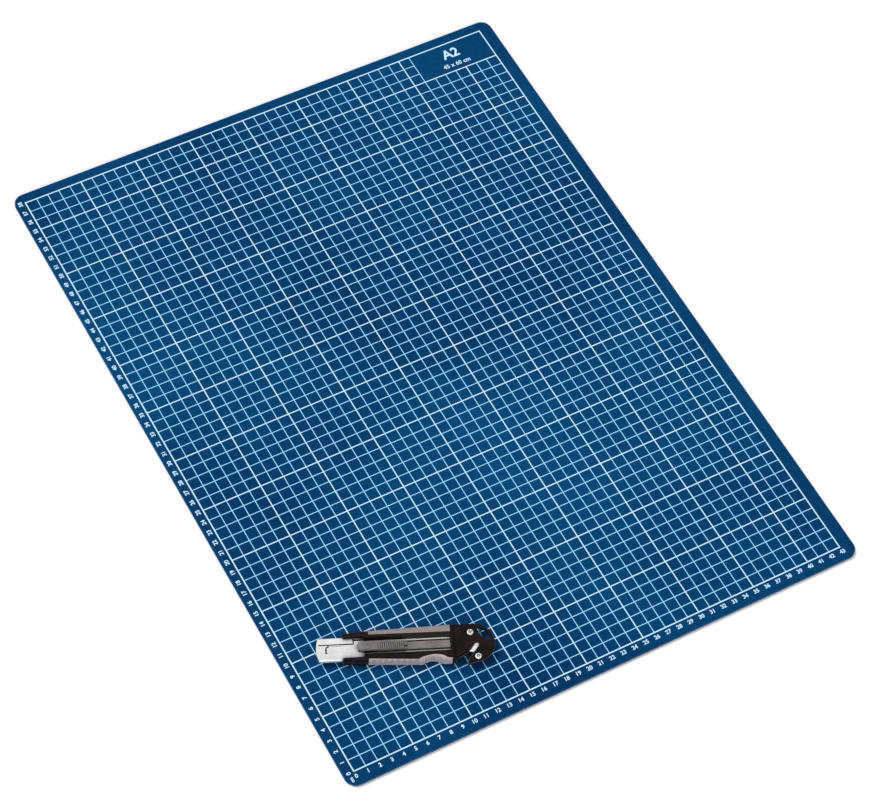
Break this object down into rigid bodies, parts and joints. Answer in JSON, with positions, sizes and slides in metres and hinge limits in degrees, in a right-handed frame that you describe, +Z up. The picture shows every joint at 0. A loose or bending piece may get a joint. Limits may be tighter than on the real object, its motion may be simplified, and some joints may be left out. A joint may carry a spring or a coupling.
{
  "type": "cutting mat with utility knife",
  "caption": "Large self-healing cutting mat printed with a centimetre grid, with a retractable utility knife with a string cutter and soft grips lying on it.",
  "frame": {"origin": "centre of the mat's underside", "axes": "+Y along the mat's long side, +Z up out of its printed face"},
  "size_m": [0.45, 0.6, 0.0167],
  "materials": {
    "mat_vinyl": "soft self-healing PVC, fine matt grain",
    "mat_core": "firm PVC core",
    "white_ink": "white screen-printing ink",
    "black_plastic": "finely textured ABS",
    "grey_plastic": "satin moulded plastic",
    "soft_grip": "soft moulded elastomer",
    "guide_steel": "satin stainless sheet",
    "blade_steel": "ground carbon steel",
    "spring_steel": "blued spring steel",
    "screw_steel": "bright zinc plate",
    "insert_brass": "turned brass"
  },
  "bodies": {
    "mat": {"mat_bottom_sheet": "mat_vinyl", "mat_core_sheet": "mat_core", "mat_top_sheet": "mat_vinyl"},
    "knife": {"lower_shell": "black_plastic", "upper_shell": "black_plastic", "upper_grip": "soft_grip", "lower_grip": "soft_grip", "blade_guide": "guide_steel", "guide_rivets": "screw_steel", "string_blade": "blade_steel", "head_screws": "screw_steel", "head_inserts": "insert_brass"},
    "slider": {"thumb_slider": "grey_plastic", "blade_carrier": "black_plastic", "blade": "blade_steel", "button_spring": "spring_steel"},
    "button": {"thumb_button": "grey_plastic"}
  },
  "joints": [
    {"name": "knife_lift", "type": "slide", "parent": "mat", "child": "knife", "axis": [0, 0, 1], "range_m": [0, 0.08]},
    {"name": "blade_slide", "type": "slide", "parent": "knife", "child": "slider", "axis": [-0.9181, 0.3963, 0], "range_m": [0, 0.022]},
    {"name": "button_press", "type": "slide", "parent": "slider", "child": "button", "axis": [0, 0, -1], "range_m": [0, 0.0008], "stiffness_N_per_m": 2500, "springref_m": -0.0006, "deforming": ["button_spring"]}
  ]
}
